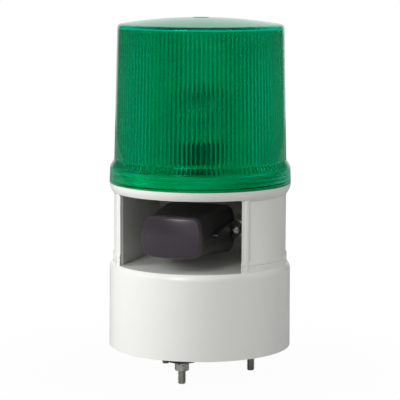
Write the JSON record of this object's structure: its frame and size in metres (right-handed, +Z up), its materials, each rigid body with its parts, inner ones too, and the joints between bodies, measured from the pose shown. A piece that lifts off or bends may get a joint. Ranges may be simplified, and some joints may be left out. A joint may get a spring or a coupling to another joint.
{
  "type": "warning light with siren",
  "caption": "Revolving warning light: round ivory housing on studs, siren horn in an open window, ribbed green lens over a lamp with a turning reflector.",
  "frame": {"origin": "centre of the cable inlet in the underside of the base plate, at the level of the base's bottom edge", "axes": "+Z up along the lens axis, the siren's window faces -Y, +X to the right seen from the front"},
  "size_m": [0.1398, 0.1398, 0.2754],
  "materials": {
    "ivory_plastic": "semi-gloss moulded",
    "green_lens": "clear ribbed moulding",
    "black_plastic": "satin moulded",
    "cap_plastic": "satin gloss",
    "ivory_steel": "stove enamelled",
    "zinc_steel": "bright zinc",
    "rubber": "moulded",
    "glass": "clear",
    "bright_sheet": "polished",
    "brass": "nickel-free turned",
    "white_plastic": "heat-proof moulding",
    "gear_plastic": "natural",
    "board": "lacquered",
    "dark_component": "moulded",
    "ferrite": "sintered"
  },
  "bodies": {
    "housing": {"base_housing": "ivory_plastic", "middle_housing": "ivory_plastic", "lens_gasket": "rubber", "base_plate": "zinc_steel", "base_gasket": "rubber", "base_screws": "zinc_steel", "housing_screws": "zinc_steel", "mounting_studs": "zinc_steel", "rubber_washers": "rubber", "flat_washers": "zinc_steel", "spring_washers": "zinc_steel", "hex_nuts": "zinc_steel", "cable_grommet": "rubber", "duct_grommets": "rubber", "circuit_board": "board", "board_standoffs": "brass", "board_screws": "zinc_steel", "transformer": "dark_component", "capacitors": "dark_component", "terminal_block": "dark_component", "lamp_chassis": "white_plastic", "chassis_screws": "zinc_steel", "socket_pillar": "white_plastic", "bearing_ring": "brass", "lamp_socket": "white_plastic", "bulb_cap": "brass", "bulb_glass": "glass", "filament": "zinc_steel", "motor": "zinc_steel", "motor_screws": "zinc_steel", "horn_body": "black_plastic", "front_cap": "cap_plastic", "diaphragm": "dark_component", "driver_plate": "zinc_steel", "driver_magnet": "ferrite", "horn_bracket": "ivory_steel", "siren_screws": "zinc_steel", "bracket_screws": "zinc_steel"},
    "lens": {"lens": "green_lens"},
    "turntable": {"turntable": "gear_plastic", "reflector": "bright_sheet"},
    "pinion": {"pinion": "gear_plastic", "motor_shaft": "zinc_steel"}
  },
  "joints": [
    {"name": "lens_lift", "type": "slide", "parent": "housing", "child": "lens", "axis": [0, 0, 1], "range_m": [0, 0.13]},
    {"name": "reflector_spin", "type": "hinge", "parent": "housing", "child": "turntable", "pos_m": [0, 0, 0.14], "axis": [0, 0, 1], "continuous": true},
    {"name": "pinion_spin", "type": "hinge", "parent": "housing", "child": "pinion", "pos_m": [-0.01549, 0.01846, 0.137], "axis": [0, 0, 1], "continuous": true}
  ],
  "couplings": [
    {"joint": "pinion_spin", "follows": "reflector_spin", "ratio": -2}
  ]
}
